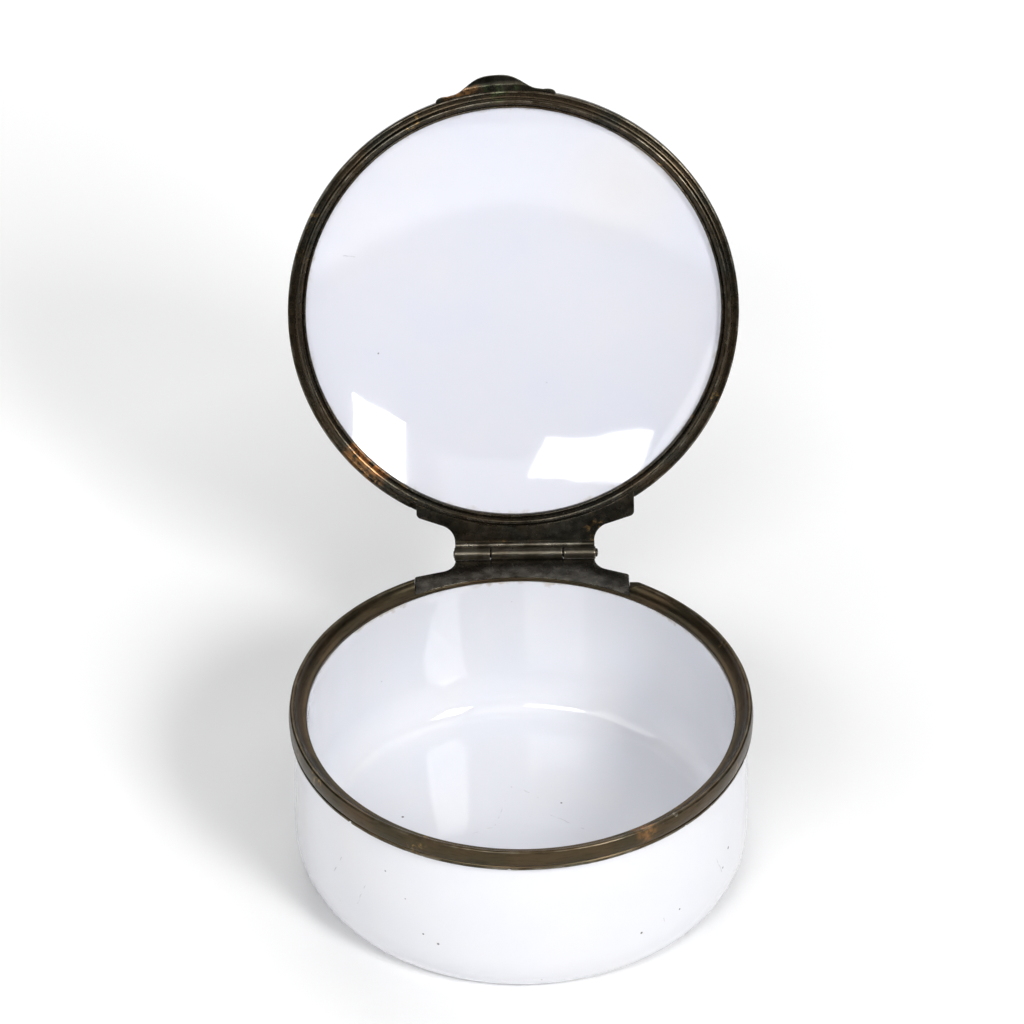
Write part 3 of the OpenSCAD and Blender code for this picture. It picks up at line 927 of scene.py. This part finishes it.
def thumb_mesh():
    """A curled flange whose reach follows the ogee, with a rounded edge."""
    z0 = LID_Z + 0.2
    thickest = 0.5
    steps = 96
    lanes = 14
    rows = []
    for i in range(steps + 1):
        angle = THUMB_HALF * (2 * i / steps - 1)
        a = math.radians(angle - THUMB_TURN)
        reach = thumb_reach(angle)

        def curl(s):
            d = s * reach
            return z0 + 0.6 * max(0, (d - 0.55) / 0.95) ** 1.6

        under = [(LID_R + reach * s, curl(s)) for s in [j / lanes for j in range(lanes + 1)]]
        tip_r, tip_z = under[-1]
        nose = [(tip_r + 0.07 * math.sin(math.radians(q)), tip_z + 0.2 - 0.2 * math.cos(math.radians(q)))
                for q in (30, 60, 90, 120, 150)]
        over = [
            (r - 0.02, z + min(thickest, 0.4 + 0.1 * (1 - (r - LID_R) / reach)))
            for r, z in under[::-1]
        ]
        row = []
        for r, z in under + nose + over:
            lift = rough((r * math.sin(a), r * math.cos(a), z), 1.3, 0.03, 71)
            row.append((r * math.sin(a), -r * math.cos(a), z + lift))
        rows.append(row)
    return mesh_from("thumbpiece_lip", *loop_grid(rows, closed=False))


def thumb():
    low = LID_Z + 0.2
    finish = brass(
        "thumb_brass", (0.028, 0.028, 0.021), (0.038, 0.033, 0.021), gold=0.2,
        copper=[(on_wall(a, low, 25.15), 0.55) for a in (-16, -13.5, -11, -8.5)],
        green=[(on_wall(a, low, 25.1), 0.45) for a in (-6, -3, 1)],
    )
    made = piece("thumbpiece_lip", thumb_mesh(), finish, "lid", "thumbpiece", sharp=50)
    mark_wear(made, lambda x, y, z: 0.1)


thumb()

# ---------------------------------------------------------------- floor, light and camera


def plain(name, colour, roughness):
    p = Paint(name)
    p.shader.inputs["Base Color"].default_value = (*colour, 1)
    p.shader.inputs["Roughness"].default_value = roughness
    return p


def floor():
    """A white floor with painted light: it glows a little more away from the box, so the floor near it
    stays darker as painted shade.
    """
    side = 2.0
    mesh = bpy.data.meshes.new("floor")
    mesh.from_pydata(
        [(-side, -side, 0), (side, -side, 0), (side, side, 0), (-side, side, 0)], [], [(0, 1, 2, 3)]
    )
    made = bpy.data.objects.new("floor", mesh)
    bpy.context.scene.collection.objects.link(made)
    p = plain("floor_white", (0.9, 0.9, 0.9), 0.9)
    p.shader.inputs["Specular IOR Level"].default_value = 0.1
    # Painted light: emission that rises with distance from the box, leaving painted shade close to it.
    glow_from, glow_to = 0.035, 0.075
    away = p.range(p.vector("DISTANCE", p.place, (0, 0.02, 0)), glow_from, glow_to)
    p.feed(p.mix(away, (0, 0, 0, 1), (1, 1, 1, 1)), p.shader.inputs["Emission Color"])
    p.shader.inputs["Emission Strength"].default_value = 0.17
    mesh.materials.append(p.material)


def softbox(name, azimuth, elevation, distance, width, height, power, lean=0):
    """A rectangular light that faces the middle of the box, leaning by some degrees."""
    target = Vector((0, 0.02, 0.03))
    a, e = math.radians(azimuth), math.radians(elevation)
    out = Vector((math.sin(a) * math.cos(e), -math.cos(a) * math.cos(e), math.sin(e)))
    data = bpy.data.lights.new(name, "AREA")
    data.shape = "RECTANGLE"
    data.size = width
    data.size_y = height
    data.energy = power
    lamp = bpy.data.objects.new(name, data)
    lamp.location = target + out * distance
    lamp.rotation_mode = "QUATERNION"
    turn = Matrix.Rotation(math.radians(lean), 3, "Z").to_quaternion()
    lamp.rotation_quaternion = out.to_track_quat("Z", "Y") @ turn
    bpy.context.scene.collection.objects.link(lamp)


def studio():
    """Two near softboxes that show in the enamel, one behind, and three wide ones that fill."""
    softbox("softbox_right", 38, 36, 0.8, 0.18, 0.27, 3.9, lean=-37)
    softbox("softbox_left", -20, 42, 0.85, 0.37, 0.18, 2.1)
    softbox("softbox_back", 180, 45, 0.9, 0.6, 0.6, 3.4)
    softbox("softbox_far_left", -60, 30, 1.5, 0.9, 0.9, 4.8)
    softbox("softbox_high_right", 105, 58, 1.5, 0.9, 0.9, 2.8)
    softbox("softbox_front", 0, 58, 1.5, 0.9, 0.9, 2.2)
    world = bpy.data.worlds.new("studio")
    world.use_nodes = True
    world.node_tree.nodes["Background"].inputs["Color"].default_value = (0.97, 0.98, 1.0, 1)
    world.node_tree.nodes["Background"].inputs["Strength"].default_value = 0.01
    bpy.context.scene.world = world
    bpy.context.scene.view_settings.view_transform = "Standard"


def camera():
    """Looks from the front and above with a long lens, rolled very slightly."""
    azimuth, elevation = math.radians(-0.92), math.radians(39.08)
    distance = 0.65
    aim = Vector((-0.00066, 0.0132, 0.0361))
    roll = math.radians(-0.32)
    data = bpy.data.cameras.new("camera")
    data.lens = 212.1
    data.sensor_width = 36
    data.clip_start = 0.01
    cam = bpy.data.objects.new("camera", data)
    back = Vector((
        math.sin(azimuth) * math.cos(elevation),
        -math.cos(azimuth) * math.cos(elevation),
        math.sin(elevation),
    ))
    cam.location = Vector((0, 0, MOUTH_Z * MM)) + back * distance
    facing = (aim - cam.location).to_track_quat("-Z", "Y")
    cam.rotation_mode = "QUATERNION"
    cam.rotation_quaternion = facing @ Matrix.Rotation(roll, 3, "Z").to_quaternion()
    bpy.context.scene.collection.objects.link(cam)
    bpy.context.scene.camera = cam


floor()
studio()
camera()
